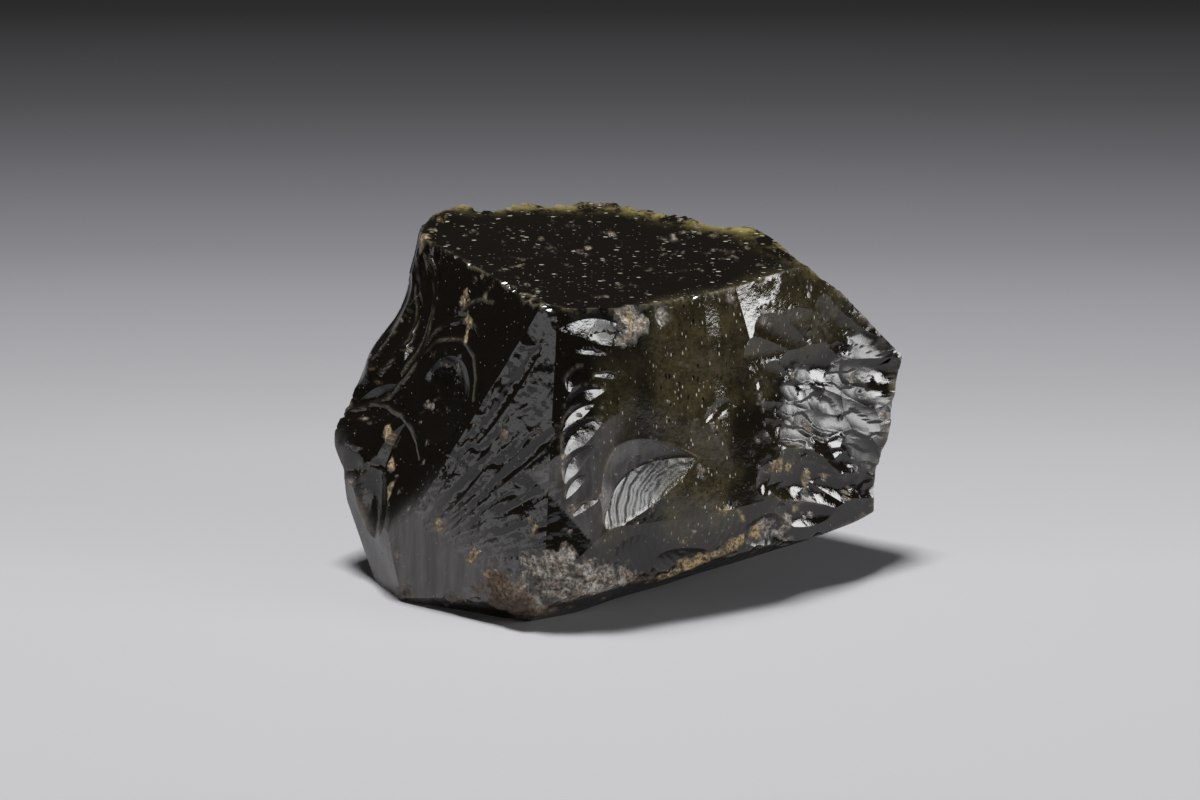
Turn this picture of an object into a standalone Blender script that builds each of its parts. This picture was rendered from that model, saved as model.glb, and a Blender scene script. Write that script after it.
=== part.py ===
"""Obsidian chunk: a hand-sized lump of volcanic glass struck off a larger block.

One solid in one piece.  The stone is what is left inside a set of fracture
surfaces: large faces that give it its outline, shell-shaped scars bitten out of
them, and notches where two breaks meet in a valley.  Every surface is a plane or
a shallow dish, so one short formula covers them all.
Units are metres; the break surfaces are written in millimetres and scaled once.
"""
import bpy
import bmesh
import numpy as np
from mathutils import Vector

# ---- driving dimensions -------------------------------------------------------------
LENGTH = 0.0716          # the stone's longest extent, along X (m)
MM = 0.001               # the break surfaces below are in millimetres
HEART = (-1.5, -2.0, 20.0)   # a point deep inside, from which every break is seen
SPHERE_STEPS = 6         # subdivisions of the starting ball
KEEP_RATIO = 0.44        # share of triangles kept when the mesh is thinned
GLASS_COLOUR = (0.012, 0.010, 0.008, 1.0)

# ---- the large faces -------------------------------------------------------------------
# name: (point on the face, compass bearing it looks to, upward lean, bend across, bend up)
# bearing 0 looks along +X, -90 looks to the front; a negative bend bulges outward
FACES = {
    "top table": ((-6.4, -15.0, 40.1), -90, 84, 0.0, 0.0),
    "right front": ((10.1, -11.4, 40.5), -66, 10, -0.003, 0.0),
    "right bevel": ((12.8, -15.3, 13.0), -65, -10, -0.006, 0.0),
    "right end": ((18.4, -10.4, 26.0), -52, 13, 0.0, 0.0),
    "front rib": ((-3.0, -15.4, 40.0), -92, 12, 0.0, 0.0),
    "left front": ((-6.6, -15.6, 40.1), -116, 12, 0.0, 0.0),
    "left shoulder": ((-17.2, -3.7, 41.3), -141, 23, 0.0, 0.0),
    "left side": ((-26.2, 10.0, 41.0), -175, 25, 0.0, 0.0),
    "slate foot": ((-12.7, -21.2, 4.0), -121.3, 2.8, 0.0, 0.0),
    "left foot": ((-36.0, 0.0, 12.5), -170, -17, 0.0, 0.0),
    "left sliver": ((-28.7, -11.4, 8.0), -150, -5, 0.0, 0.0),
    "crust": ((-5.2, -22.2, 14.0), -92, -4, 0.0, 0.0),
    "resting face": ((0.0, 0.0, 0.0), -90, -90, 0.0, 0.0),
    "right underside": ((10.5, -9.9, 3.3), -35, -72, 0.0, 0.0),
    "front underside": ((-10.9, -18.8, 0.0), -62.4, -45, 0.0, 0.0),
    "left underside": ((-10.9, -18.8, 0.0), -112.3, -35, 0.0, 0.0),
    "right tip": ((36.8, 0.2, 27.0), 5, -11, 0.0, 0.0),
    "right back slope": ((23.3, 1.4, 41.8), 31.5, 41, 0.0, 0.0),
    "back right": ((12.5, 11.8, 42.9), 64, 13, 0.0, 0.0),
    "back right foot": ((25.0, 10.5, 12.0), 56, -12, 0.0, 0.0),
    "back": ((-6.0, 18.2, 43.6), 92, -2, 0.0, 0.0),
    "back left": ((-24.0, 13.0, 43.0), 140, 5, 0.0, 0.0),
    "back left foot": ((-30.0, 9.5, 14.0), 152, -8, 0.0, 0.0),
    "back underside": ((0.0, 15.5, 2.0), 88, -42, 0.0, 0.0),
}

# ---- shell-shaped scars ------------------------------------------------------------------
# (face, along, up, depth, half length, half height, turn, lean, roll): a dish pressed into
# a face at the place (along, up) from the face's own point, its axis turned and leant away
# from the face's, its long way rolled anticlockwise.
SCARS = [
    ("left shoulder", -0.2, -16.1, 0.9, 4.6, 5.6, 4, -3, -8),       # bowl
    ("left shoulder", 0.1, -7.6, 0.5, 2.4, 2.0, 0, 0, 0),
    ("left shoulder", -8.7, -6.2, 0.7, 2.0, 9.0, 6, 0, 4),          # swirls beside the tip
    ("left shoulder", -11.5, -11.6, 0.7, 2.2, 7.5, -6, 4, -25),
    ("left shoulder", -9.6, -20.4, 0.7, 3.2, 3.0, -8, 6, 0),
    ("left shoulder", -8.4, -29.6, 0.9, 2.4, 4.6, 16, -24, 0),      # grey slip below the nose
    ("left side", -1.0, -13.0, 1.1, 7.0, 7.0, 16, 1, 0),
    ("left front", -6.5, -11.5, 0.35, 8.0, 1.3, 0, 0, 60),          # hackles fanning up
    ("left front", -9.2, -17.5, 0.35, 7.5, 1.2, 0, -2, 58),
    ("left front", -4.2, -14.5, 0.35, 7.0, 1.3, 2, 0, 53),
    ("left front", -11.0, -23.0, 0.35, 7.5, 1.2, 0, -2, 52),
    ("left front", -5.0, -20.5, 0.40, 7.5, 1.3, 2, 0, 46),
    ("left front", -8.8, -26.5, 0.35, 7.5, 1.2, 0, -2, 38),
    ("left front", -3.4, -24.6, 0.35, 6.0, 1.3, 2, 0, 34),
    ("left front", -8.0, -30.6, 0.35, 6.5, 1.2, 0, -2, 24),
    ("right front", -9.0, -1.7, 0.6, 2.3, 1.9, -6, 12, 0),          # point of the last blow
    ("right front", -5.0, -1.7, 0.35, 1.6, 1.3, 0, -16, 0),
    ("right front", 1.2, -16.0, 0.4, 3.0, 1.4, 10, 12, 25),
    ("right front", 5.2, -22.0, 0.8, 1.8, 9.0, 6, 2, 4),
    ("right end", 5.0, 5.1, 0.6, 3.2, 3.6, 10, 4, 20),              # crumpled end
    ("right end", 11.9, 6.3, 0.6, 3.6, 2.6, -6, 8, -20),
    ("right end", 17.0, 0.5, 0.5, 3.2, 3.0, 6, -2, 0),
    ("right end", 5.6, -1.4, 0.6, 3.6, 2.6, 4, 10, 30),
    ("right end", 12.4, -1.6, 0.6, 3.4, 2.4, 12, 2, -30),
    ("right end", 17.3, -7.6, 0.6, 2.8, 3.2, -8, 6, 0),
    ("right bevel", -3.6, -6.2, 0.6, 5.0, 2.4, -4, -4, -12),
    ("right bevel", 6.1, -4.1, 0.6, 3.6, 2.2, 8, 8, 0),
    ("right bevel", -10.4, -5.2, 0.5, 3.2, 3.0, -8, 6, 0),
    ("right bevel", 14.8, -2.9, 0.6, 4.0, 2.0, -4, 12, -10),
    ("back", 10.5, -0.5, 2.2, 3.6, 4.0, 0, -8, 0),                  # scallops of the thin edge
    ("back", 2.2, -0.2, 0.7, 3.0, 3.0, 4, -6, 0),
    ("back", -9.0, -0.4, 1.3, 3.4, 3.4, -4, -6, 0),
    ("back right", 0.5, -0.4, 0.8, 3.2, 2.8, 0, -6, 0),
    ("back", -2.0, -16.5, 3.2, 15.0, 12.0, -6, -2, 15),             # hollows of the far side
    ("back", 10.0, -33.0, 1.6, 9.0, 7.0, 8, 6, -20),
    ("back right", -7.0, -17.0, 2.0, 9.0, 8.0, 4, 0, -15),
    ("back left", 1.0, -15.0, 1.8, 8.0, 10.0, -6, 3, 10),
    ("right back slope", 3.0, -9.0, 0.9, 5.5, 5.0, 4, 2, 0),
]

# ---- notches -----------------------------------------------------------------------------
# (face, along, up, depth, half length, roll, (turn, lean), (turn, lean)): two breaks that
# meet in a valley as deep as this below the face, running along the rolled direction
NOTCHES = [
    ("front rib", -0.1, -3.6, 1.0, 3.4, 0, (4, -12), (10, 30)),     # steps down the front rib
    ("front rib", -0.3, -8.4, 0.7, 3.2, 8, (4, -10), (10, 30)),
    ("front rib", -0.6, -11.8, 0.7, 3.0, 12, (4, -10), (10, 30)),
    ("front rib", -0.8, -15.4, 0.8, 3.0, 16, (4, -10), (12, 28)),
    ("front rib", -0.8, -20.0, 0.8, 2.8, 22, (4, -10), (12, 26)),
    ("front rib", -0.6, -24.8, 0.6, 2.4, 30, (4, -8), (12, 22)),
    ("right front", -8.8, -22.0, 2.1, 9.6, 34, (13, -14), (-8, 25)),    # lens and its crescent
    ("right end", 5.2, -10.9, 1.1, 7.0, -27, (-8, -13), (0, 30)),       # ledge
    ("left shoulder", -6.6, -25.4, 0.6, 4.5, 78, (24, -12), (-24, 0)),  # cleft by the nose
]
LUMP = 0.25              # height of the lumps on the weathered crust (mm)
WAVE = 0.10              # slow swell of the glass faces (mm)


def axes(bearing, lean, roll=0.0):
    """Outward axis of a face and the two directions lying in it."""
    a, b, r = np.radians(bearing), np.radians(lean), np.radians(roll)
    out = np.array([np.cos(b) * np.cos(a), np.cos(b) * np.sin(a), np.sin(b)])
    along = np.array([-np.sin(a), np.cos(a), 0.0])
    up = np.cross(out, along)
    return out, along * np.cos(r) + up * np.sin(r), up * np.cos(r) - along * np.sin(r)


def spot(face, along, up):
    """Place on a face, counted from the face's own point."""
    point, bearing, lean, bend_a, bend_u = FACES[face]
    out, da, du = axes(bearing, lean)
    rise = 0.5 * (bend_a * along ** 2 + bend_u * up ** 2)
    return np.array(point) + da * along + du * up + out * rise


def height(p, point, frame, bend_a, bend_u):
    """How far each place p stands outside one break surface (mm)."""
    out, da, du = frame
    q = p - point
    return q @ out - 0.5 * bend_a * (q @ da) ** 2 - 0.5 * bend_u * (q @ du) ** 2


def swell(p):
    """Slow unevenness of the broken glass, and lumps where the old crust is kept."""
    x, y, z = p[:, 0], p[:, 1], p[:, 2]
    slow = np.sin(0.55 * x + 0.31 * z + 0.8) * np.sin(0.47 * y - 0.42 * z + 0.3)
    fine = np.sin(1.9 * x + 0.9 * z) * np.sin(1.8 * z - 1.1 * x + 1.1) + 0.5 * np.sin(2.6 * x + 1.9 * y)
    crust = np.exp(-((x + 6.5) / 7.0) ** 2 - ((z - 5.5) / 5.0) ** 2) * (y < 0)
    crust = crust + 0.8 * np.exp(-((x - 17.0) / 7.0) ** 2 - ((z - 8.5) / 3.0) ** 2) * (y < 0)
    crust = crust + 0.8 * np.exp(-((x + 23.0) / 3.0) ** 2 - ((z - 41.0) / 4.0) ** 2)
    return WAVE * slow + LUMP * np.clip(crust, 0.0, 1.0) * fine


def surfaces():
    """Every break of the stone: a list of one surface (face, scar) or two (notch)."""
    cuts = []
    for name, (point, bearing, lean, bend_a, bend_u) in FACES.items():
        cuts.append([(np.array(point), axes(bearing, lean), bend_a, bend_u)])
    for face, along, up, deep, half_a, half_u, turn, tip, roll in SCARS:
        bearing, lean = FACES[face][1] + turn, FACES[face][2] + tip
        frame = axes(bearing, lean, roll)
        point = spot(face, along, up) - frame[0] * deep
        cuts.append([(point, frame, 2 * deep / half_a ** 2, 2 * deep / half_u ** 2)])
    for face, along, up, deep, half, roll, low, high in NOTCHES:
        point = spot(face, along, up) - axes(*FACES[face][1:3])[0] * deep
        pair = []
        for turn, tip in (low, high):
            frame = axes(FACES[face][1] + turn, FACES[face][2] + tip, roll)
            pair.append((point, frame, 2 * deep / half ** 2, 0.02))
        cuts.append(pair)
    return cuts


def readings(p, cuts):
    """Height outside each cut for every place p; a notch counts its nearer side."""
    rows = []
    bump = swell(p)
    for k, cut in enumerate(cuts):
        row = height(p, *cut[0])
        if len(cut) == 2:
            row = np.minimum(row, height(p, *cut[1]))
        if k != REST_ROW:
            row = row - bump
        rows.append(row)
    return np.array(rows)


REST_ROW = list(FACES).index("resting face")


def push_out(ways, cuts):
    """Walk out from the heart along each way until the first break surface (mm)."""
    near = np.zeros(len(ways))
    far = np.full(len(ways), 60.0)
    heart = np.array(HEART)
    for _ in range(34):
        mid = 0.5 * (near + far)
        outside = readings(heart + ways * mid[:, None], cuts).max(axis=0) > 0
        far = np.where(outside, mid, far)
        near = np.where(outside, near, mid)
    return heart + ways * near[:, None]


def sharpen(p, cuts, reach):
    """Slide places that lie within reach of a ridge onto it, so that ridges stay crisp."""
    step = 1e-3
    start = p
    for _ in range(3):
        row = readings(p, cuts)
        order = np.argsort(-row, axis=0)
        first, second = order[0], order[1]
        pick = np.arange(len(p))
        slopes = []
        for axis in range(3):
            moved = p.copy()
            moved[:, axis] += step
            slopes.append((readings(moved, cuts) - row) / step)
        g1 = np.stack([s[first, pick] for s in slopes], axis=1)
        g2 = np.stack([s[second, pick] for s in slopes], axis=1)
        f1, f2 = row[first, pick], row[second, pick]
        a, b, c = (g1 * g1).sum(1), (g1 * g2).sum(1), (g2 * g2).sum(1)
        det = a * c - b * b
        safe = np.where(np.abs(det) < 0.02, 1.0, det)
        k1 = (-f1 * c + f2 * b) / safe
        k2 = (-f2 * a + f1 * b) / safe
        move = g1 * k1[:, None] + g2 * k2[:, None]
        away = np.linalg.norm(p + move - start, axis=1)
        good = (det > 0.02) & (away < reach)
        p = p + np.where(good[:, None], move, 0.0)
    return p


# ---- the mesh ----------------------------------------------------------------------------
def remove_all():
    """Start from an empty scene."""
    for thing in list(bpy.data.objects):
        bpy.data.objects.remove(thing, do_unlink=True)


def glass():
    """Black volcanic glass, faintly olive where it is thin."""
    mat = bpy.data.materials.new("obsidian")
    mat.use_nodes = True
    node = mat.node_tree.nodes["Principled BSDF"]
    node.inputs["Base Color"].default_value = GLASS_COLOUR
    node.inputs["Roughness"].default_value = 0.12
    node.inputs["IOR"].default_value = 1.5
    return mat


def build_chunk(home):
    """A fine ball pushed out onto the break surfaces, then thinned."""
    bm = bmesh.new()
    bmesh.ops.create_icosphere(bm, subdivisions=SPHERE_STEPS, radius=1.0)
    bm.verts.ensure_lookup_table()
    ways = np.array([v.co[:] for v in bm.verts])
    ways = ways / np.linalg.norm(ways, axis=1, keepdims=True)
    cuts = surfaces()
    p = push_out(ways, cuts)
    ends = np.array([[e.verts[0].index, e.verts[1].index] for e in bm.edges])
    span = np.linalg.norm(p[ends[:, 0]] - p[ends[:, 1]], axis=1)
    total = np.bincount(ends.ravel(), np.repeat(span, 2), len(p))
    count = np.bincount(ends.ravel(), minlength=len(p))
    p = sharpen(p, cuts, 0.56 * total / count)
    on_rest = np.abs(p[:, 2]) < 0.02
    p[on_rest, 2] = 0.0
    low, high = p.min(axis=0), p.max(axis=0)
    grow = LENGTH / (high[0] - low[0])
    middle = np.array([(low[0] + high[0]) / 2, (low[1] + high[1]) / 2, 0.0])
    p = (p - middle) * grow
    for v, place in zip(bm.verts, p):
        v.co = Vector(place)
    mesh = bpy.data.meshes.new("obsidian_chunk")
    bm.to_mesh(mesh)
    bm.free()
    stone = bpy.data.objects.new("obsidian_chunk", mesh)
    mesh.materials.append(glass())
    home.objects.link(stone)
    thin = stone.modifiers.new("thin", "DECIMATE")
    thin.ratio = KEEP_RATIO
    return stone


def main():
    remove_all()
    home = bpy.data.collections.new("obsidian_chunk")
    bpy.context.scene.collection.children.link(home)
    build_chunk(home)


main()
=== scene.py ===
"""Obsidian chunk, dressed: volcanic glass with shell-shaped breaks, hackles and old crust.

The stone is what is left inside a set of break surfaces.  Each surface is a plane or a
shallow dish, so a straight way out from the stone's heart meets it where a quadratic is
zero; the nearest of those meetings is the skin.  Ripples, hackles, crumples and crust then
lift or sink the skin by a small rise that depends on the place alone, so ridges stay shut.
Shapes are written in millimetres and carried into the frame's metres at the end.
"""
import math
import bpy
import numpy as np
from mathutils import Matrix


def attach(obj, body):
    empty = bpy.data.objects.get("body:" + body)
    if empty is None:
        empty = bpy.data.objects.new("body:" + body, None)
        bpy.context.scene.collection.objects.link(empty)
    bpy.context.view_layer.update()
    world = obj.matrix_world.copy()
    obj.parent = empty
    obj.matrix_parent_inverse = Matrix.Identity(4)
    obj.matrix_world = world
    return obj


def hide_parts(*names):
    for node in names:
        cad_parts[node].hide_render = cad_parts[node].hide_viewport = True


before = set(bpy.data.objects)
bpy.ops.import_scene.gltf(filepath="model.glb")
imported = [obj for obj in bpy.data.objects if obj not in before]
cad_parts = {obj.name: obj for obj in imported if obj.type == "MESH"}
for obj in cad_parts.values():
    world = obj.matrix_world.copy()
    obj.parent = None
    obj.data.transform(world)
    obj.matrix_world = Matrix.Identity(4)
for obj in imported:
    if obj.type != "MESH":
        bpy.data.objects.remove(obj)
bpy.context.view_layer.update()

# ---- how the drawn millimetres sit in the frame ---------------------------------------------
GROW = 0.001003          # frame metres for each drawn millimetre
MIDDLE = np.array([0.613, -1.816, 0.0])   # drawn place that is the frame's origin (mm)
HEART = np.array([-1.0, -5.0, 21.0])      # a point deep inside, from which every break is seen
SHEET = (372, 258)       # cells across and up the sheet that wraps the stone

# ---- the large faces: point, bearing, upward lean, bend across, bend up ---------------------
FACES = {
    "top table": ((-6.4, -15.0, 40.1), -90, 84, 0.0, 0.0),
    "right front": ((10.1, -11.4, 40.5), -66, 10, -0.003, 0.0),
    "right bevel": ((12.8, -15.3, 13.0), -65, -10, -0.006, 0.0),
    "right end": ((18.4, -10.4, 26.0), -52, 13, 0.0, 0.0),
    "front rib": ((-3.0, -15.4, 40.0), -92, 12, 0.0, 0.0),
    "left front": ((-6.6, -15.6, 40.1), -116, 12, 0.0, 0.0),
    "left shoulder": ((-17.2, -3.7, 41.3), -141, 23, 0.0, 0.0),
    "left side": ((-26.2, 10.0, 41.0), -175, 25, 0.0, 0.0),
    "slate foot": ((-12.7, -21.2, 4.0), -121.3, 2.8, 0.0, 0.0),
    "left foot": ((-36.0, 0.0, 12.5), -170, -17, 0.0, 0.0),
    "left sliver": ((-28.7, -11.4, 8.0), -150, -5, 0.0, 0.0),
    "crust": ((-5.2, -22.2, 14.0), -92, -4, 0.0, 0.0),
    "resting face": ((0.0, 0.0, 0.0), -90, -90, 0.0, 0.0),
    "right underside": ((10.5, -9.9, 3.3), -35, -72, 0.0, 0.0),
    "front underside": ((-10.9, -18.8, 0.0), -62.4, -45, 0.0, 0.0),
    "left underside": ((-10.9, -18.8, 0.0), -112.3, -35, 0.0, 0.0),
    "right tip": ((36.8, 0.2, 27.0), 5, -11, 0.0, 0.0),
    "right back slope": ((23.3, 1.4, 41.8), 31.5, 41, 0.0, 0.0),
    "back right": ((12.5, 11.8, 42.9), 64, 13, 0.0, 0.0),
    "back right foot": ((25.0, 10.5, 12.0), 56, -12, 0.0, 0.0),
    "back": ((-6.0, 18.2, 43.6), 92, -2, 0.0, 0.0),
    "back left": ((-24.0, 13.0, 43.0), 140, 5, 0.0, 0.0),
    "back left foot": ((-30.0, 9.5, 14.0), 152, -8, 0.0, 0.0),
    "back underside": ((0.0, 15.5, 2.0), 88, -42, 0.0, 0.0),
}
REST = list(FACES).index("resting face")

# ---- shell-shaped scars: face, along, up, depth, half length, half height, turn, lean, roll --
SCARS = [
    ("left shoulder", -0.2, -16.1, 0.9, 4.6, 5.6, 4, -3, -8),
    ("left shoulder", 0.1, -7.6, 0.5, 2.4, 2.0, 0, 0, 0),
    ("left shoulder", -8.7, -6.2, 0.7, 2.0, 9.0, 6, 0, 4),
    ("left shoulder", -11.5, -11.6, 0.7, 2.2, 7.5, -6, 4, -25),
    ("left shoulder", -9.6, -20.4, 0.30, 4.6, 2.0, -6, 2, 40),
    ("left shoulder", -8.4, -29.6, 0.9, 2.4, 4.6, 16, -24, 0),
    ("left side", -1.0, -13.0, 1.1, 7.0, 7.0, 16, 1, 0),
    ("left front", -6.5, -11.5, 0.28, 8.0, 0.9, 0, 0, 60),
    ("left front", -11.0, -23.0, 0.28, 7.5, 0.9, 0, -2, 52),
    ("left front", -5.0, -20.5, 0.30, 7.5, 0.9, 2, 0, 46),
    ("left front", -3.4, -24.6, 0.28, 6.0, 0.9, 2, 0, 34),
    ("right front", -9.0, -1.7, 0.6, 2.3, 1.9, -6, 12, 0),
    ("right front", -5.4, -1.9, 0.25, 1.0, 1.7, 4, 4, 10),
    ("right front", 0.4, -15.4, 0.30, 2.0, 0.9, 10, 12, 28),
    ("right front", 5.2, -22.0, 0.10, 1.8, 9.0, 0, 2, 4),
    ("right end", 6.8, 0.4, 0.85, 7.2, 8.8, 0, 2, 12),
    ("right end", 15.0, 0.6, 0.70, 5.4, 10.0, 0, 3, -12),
    ("right bevel", -3.6, -6.2, 0.6, 5.0, 2.4, -4, -4, -12),
    ("right bevel", 6.1, -4.1, 0.6, 3.6, 2.2, 8, 8, 0),
    ("right bevel", -10.4, -5.2, 0.5, 3.2, 3.0, -8, 6, 0),
    ("right bevel", 14.8, -2.9, 0.6, 4.0, 2.0, -4, 12, -10),
    ("back", 10.5, -0.5, 2.2, 3.6, 4.0, 0, -8, 0),
    ("back", 2.2, -0.2, 0.7, 3.0, 3.0, 4, -6, 0),
    ("back", -9.0, -0.4, 1.3, 3.4, 3.4, -4, -6, 0),
    ("back right", 0.5, -0.4, 0.8, 3.2, 2.8, 0, -6, 0),
    ("back", -2.0, -16.5, 3.2, 15.0, 12.0, -6, -2, 15),
    ("back", 10.0, -33.0, 1.6, 9.0, 7.0, 8, 6, -20),
    ("back right", -7.0, -17.0, 2.0, 9.0, 8.0, 4, 0, -15),
    ("back left", 1.0, -15.0, 1.8, 8.0, 10.0, -6, 3, 10),
    ("right back slope", 3.0, -9.0, 0.9, 5.5, 5.0, 4, 2, 0),
]

# ---- notches: face, along, up, depth, half length, roll, (turn, lean), (turn, lean) ----------
CRESCENT_AT = (-10.3, -21.6)   # along and up the right front
CRESCENT_ROLL = 34
NOTCHES = [
    ("front rib", -0.2, -1.3, 1.30, 4.0, 2, (5, -40), (5, 28)),
    ("front rib", 1.3, -2.9, 0.80, 2.1, -8, (5, -36), (6, 28)),
    ("front rib", -0.7, -5.1, 0.26, 1.6, 3, (4, -36), (4, 29)),
    ("front rib", 1.5, -7.9, 0.30, 1.3, 5, (4, -36), (4, 29)),
    ("front rib", -2.7, -8.4, 0.50, 1.5, 62, (34, -18), (-26, 13)),
    ("front rib", -1.6, -10.4, 0.70, 2.2, 30, (19, -33), (-14, 25)),
    ("front rib", -2.5, -12.9, 0.60, 2.0, 45, (27, -27), (-20, 20)),
    ("front rib", -2.3, -15.4, 1.00, 2.9, 50, (29, -24), (-22, 18)),
    ("front rib", -2.5, -18.6, 0.80, 2.4, 56, (31, -22), (-24, 16)),
    ("front rib", -2.5, -21.6, 0.50, 1.6, 52, (30, -23), (-23, 17)),
    ("front rib", -1.2, -24.3, 0.35, 1.6, 38, (24, -30), (-18, 22)),
    ("right front", *CRESCENT_AT, 2.60, 6.5, CRESCENT_ROLL, (13, -20), (-18, 25)),
    ("right end", 5.2, -10.9, 1.1, 7.0, -27, (-8, -13), (0, 30)),
    ("left shoulder", -6.6, -25.4, 0.6, 4.5, 78, (24, -12), (-24, 0)),
]
TREAD_BEND = 0.14        # share of a notch's bend that its upward tread keeps
FACETS = 34              # flakes off the crumpled right end, drawn 1.6 to 3.6 mm long
FAR_FACETS = 26          # flakes off the far side, drawn 3 to 7 mm; one in a dish may run on across it
FLAKE_DEPTH = 0.05       # a flake's depth as a share of its drawn length
CHIP_DEPTH = 0.22        # a ridge chip's depth as a share of its length
EDGE_CHIPS = 110         # little bites along the ridges
TRIAL_PLACES = 60000     # places on the skin among which flakes and chips are picked
WAVE = 0.10              # slow swell of the glass faces (mm)
HACKLE_ROOT = (-20.9, -36.7)   # where the hackles fan out from, along and up the left front
RIPPLE_PITCH = 0.95      # shell ripples in the crescent (mm)


# ---- break surfaces ---------------------------------------------------------------------------
def axes(bearing, lean, roll=0.0):
    """Outward axis of a face and two directions in it, turned by the roll about that axis."""
    a, b, r = np.radians(bearing), np.radians(lean), np.radians(roll)
    out = np.array([np.cos(b) * np.cos(a), np.cos(b) * np.sin(a), np.sin(b)])
    along = np.array([-np.sin(a), np.cos(a), 0.0])
    up = np.cross(out, along)
    return out, along * np.cos(r) + up * np.sin(r), up * np.cos(r) - along * np.sin(r)


def spot(face, along, up):
    """Place on a face: its point, plus steps along and up it, plus half bend times step squared."""
    point, bearing, lean, bend_a, bend_u = FACES[face]
    out, da, du = axes(bearing, lean)
    rise = 0.5 * (bend_a * along ** 2 + bend_u * up ** 2)
    return np.array(point) + da * along + du * up + out * rise


class Breaks:
    """Every break surface as rows of arrays; cut[i] says which cut a surface belongs to."""

    def __init__(self):
        self.point, self.out, self.da, self.du = [], [], [], []
        self.ba, self.bu, self.cut = [], [], []
        self.cuts = 0

    def add(self, *surfaces):
        """One cut of one surface, or of two that meet in a valley."""
        for point, (out, da, du), ba, bu in surfaces:
            self.point.append(np.asarray(point, float))
            self.out.append(out)
            self.da.append(da)
            self.du.append(du)
            self.ba.append(ba)
            self.bu.append(bu)
            self.cut.append(self.cuts)
        self.cuts += 1

    def copy(self):
        """The same rows in a second set, to be closed on its own."""
        other = Breaks()
        for name in ("point", "out", "da", "du", "ba", "bu", "cut"):
            setattr(other, name, list(getattr(self, name)))
        other.cuts = self.cuts
        return other

    def close(self):
        """Turn the rows into arrays once all are in."""
        for name in ("point", "out", "da", "du", "ba", "bu"):
            setattr(self, name, np.array(getattr(self, name), float))
        self.cut = np.array(self.cut)
        self.members = [np.nonzero(self.cut == k)[0] for k in range(self.cuts)]

    def height(self, p, i):
        """Height outside surface i: out.q - ba/2 (da.q)^2 - bu/2 (du.q)^2, q from its point."""
        q = p - self.point[i]
        return q @ self.out[i] - 0.5 * self.ba[i] * (q @ self.da[i]) ** 2 \
            - 0.5 * self.bu[i] * (q @ self.du[i]) ** 2

    def slope(self, p, i):
        """Gradient of that height where each place has its own surface number i."""
        q = p - self.point[i]
        a = (q * self.da[i]).sum(1) * self.ba[i]
        u = (q * self.du[i]).sum(1) * self.bu[i]
        return self.out[i] - a[:, None] * self.da[i] - u[:, None] * self.du[i]

    def way_out(self, ways, i, rise):
        """Distance from the heart to surface i lifted by rise: the first positive root."""
        q = HEART - self.point[i]
        wo, wa, wu = ways @ self.out[i], ways @ self.da[i], ways @ self.du[i]
        qo, qa, qu = q @ self.out[i], q @ self.da[i], q @ self.du[i]
        a = -0.5 * (self.ba[i] * wa ** 2 + self.bu[i] * wu ** 2)
        b = wo - self.ba[i] * qa * wa - self.bu[i] * qu * wu
        c = qo - 0.5 * (self.ba[i] * qa ** 2 + self.bu[i] * qu ** 2) - rise
        far = np.full(len(ways), 1e6)
        disc = b * b - 4 * a * c
        root = np.sqrt(np.maximum(disc, 0.0))
        q2 = -0.5 * (b + np.where(b < 0, -1.0, 1.0) * root)
        with np.errstate(divide="ignore", invalid="ignore"):
            r1 = q2 / a
            r2 = c / q2
        r1 = np.where((disc >= 0) & (r1 > 0) & np.isfinite(r1), r1, far)
        r2 = np.where((disc >= 0) & (r2 > 0) & np.isfinite(r2), r2, far)
        return np.minimum(r1, r2)

    def walk(self, ways, rise):
        """Nearest cut along each way; a notch is passed only where both its sides are."""
        best = np.full(len(ways), 1e6)
        for k, rows in enumerate(self.members):
            lift = 0.0 if k == REST else rise
            r = self.way_out(ways, rows[0], lift)
            if len(rows) == 2:
                r = np.maximum(r, self.way_out(ways, rows[1], lift))
            best = np.minimum(best, r)
        return best

    def rank(self, p, rise):
        """For each place the two highest surfaces and their heights; the partner inside a
        notch counts as second where its valley is nearer than any other ridge."""
        n = len(p)
        h1, h2 = np.full(n, -1e6), np.full(n, -1e6)
        s1, s2 = np.zeros(n, int), np.zeros(n, int)
        mate, mate_h = np.full(n, -1), np.full(n, -1e6)
        for k, rows in enumerate(self.members):
            h = self.height(p, rows[0])
            s = np.full(n, rows[0])
            other, other_h = np.full(n, -1), np.full(n, -1e6)
            if len(rows) == 2:
                g = self.height(p, rows[1])
                low = g < h
                other, other_h = np.where(low, rows[0], rows[1]), np.maximum(h, g)
                s, h = np.where(low, rows[1], s), np.minimum(h, g)
            if k != REST:
                h = h - rise
                other_h = other_h - rise
            top = h > h1
            mid = ~top & (h > h2)
            h2 = np.where(top, h1, np.where(mid, h, h2))
            s2 = np.where(top, s1, np.where(mid, s, s2))
            mate, mate_h = np.where(top, other, mate), np.where(top, other_h, mate_h)
            h1, s1 = np.where(top, h, h1), np.where(top, s, s1)
        valley = (mate >= 0) & (mate_h - h1 < h1 - h2)
        return s1, h1, np.where(valley, mate, s2), np.where(valley, mate_h, h2)


# ---- grain: smooth lattice noise ----------------------------------------------------------------
LATTICE = np.random.default_rng(11).uniform(-1.0, 1.0, (48, 48, 48))


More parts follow.
